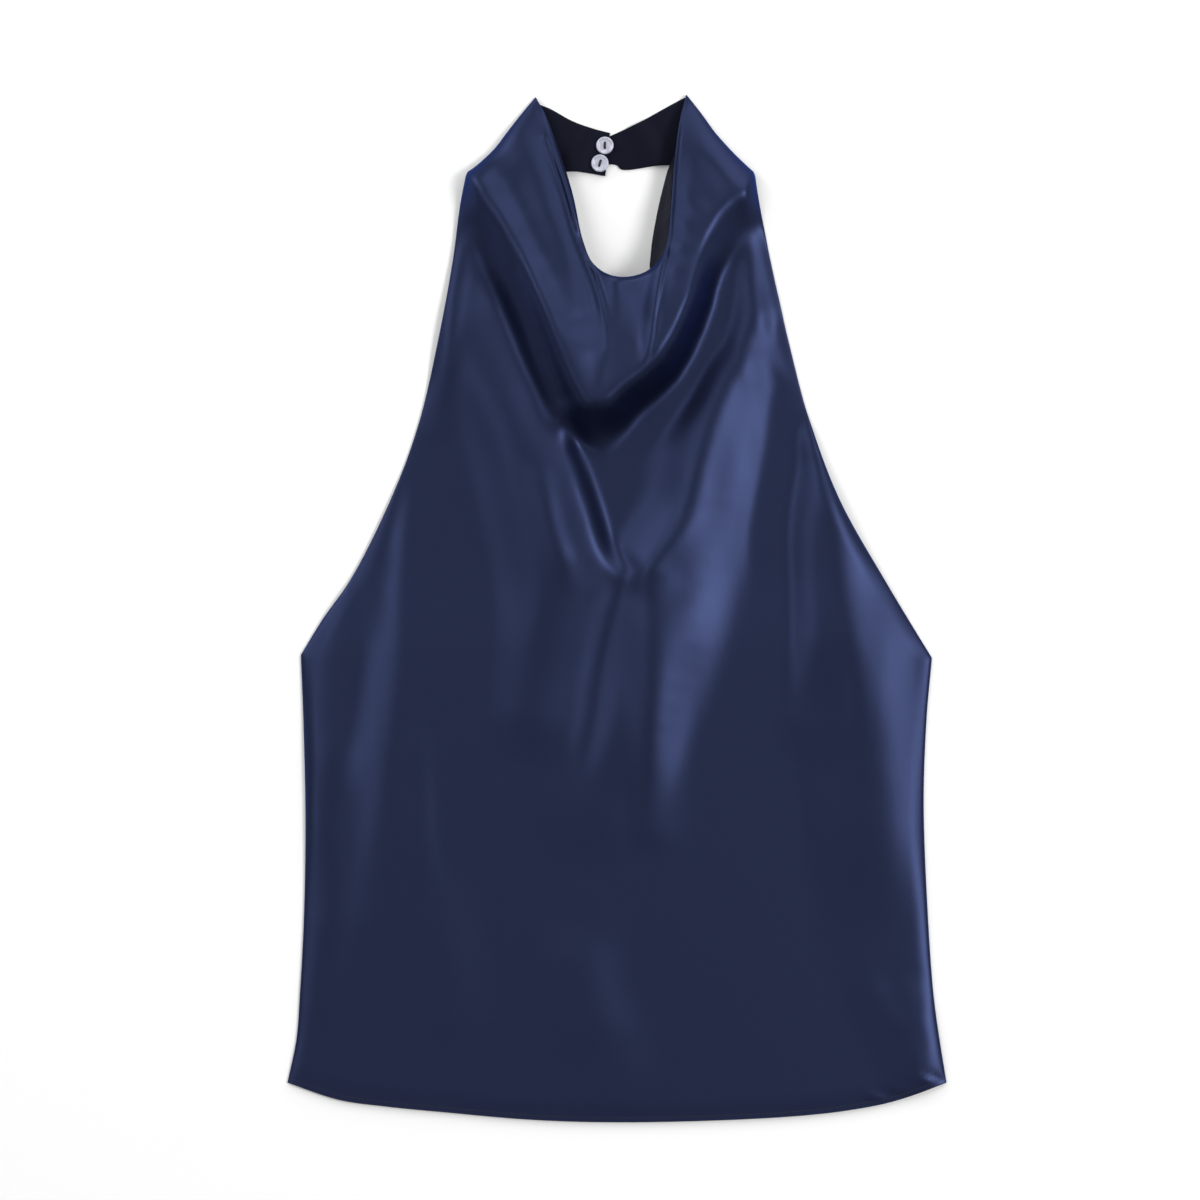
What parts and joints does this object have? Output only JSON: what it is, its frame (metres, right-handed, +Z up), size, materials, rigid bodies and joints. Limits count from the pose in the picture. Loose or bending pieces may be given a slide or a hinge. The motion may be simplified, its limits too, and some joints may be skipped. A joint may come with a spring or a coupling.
{
  "type": "halter neck top",
  "caption": "Sleeveless satin top with a draped cowl front, a low back and a neckband that buttons behind the neck, laid flat face up.",
  "frame": {"origin": "middle of the outline as it lies, on the surface that it lies on", "axes": "+X to the right as it is looked at, +Y from the hem to the neck, +Z up from the surface to the face of the front"},
  "size_m": [0.4402, 0.6863, 0.034],
  "materials": {
    "satin": "navy satin, face side",
    "satin_inside": "navy satin, dull side",
    "button": "pearly light grey"
  },
  "bodies": {
    "root": {"front_panel": "satin", "back_panel": "satin", "neckband_left": "satin_inside", "neckband_right": "satin_inside", "neck_facing": "satin_inside", "button_upper": "button", "button_lower": "button"}
  },
  "joints": []
}
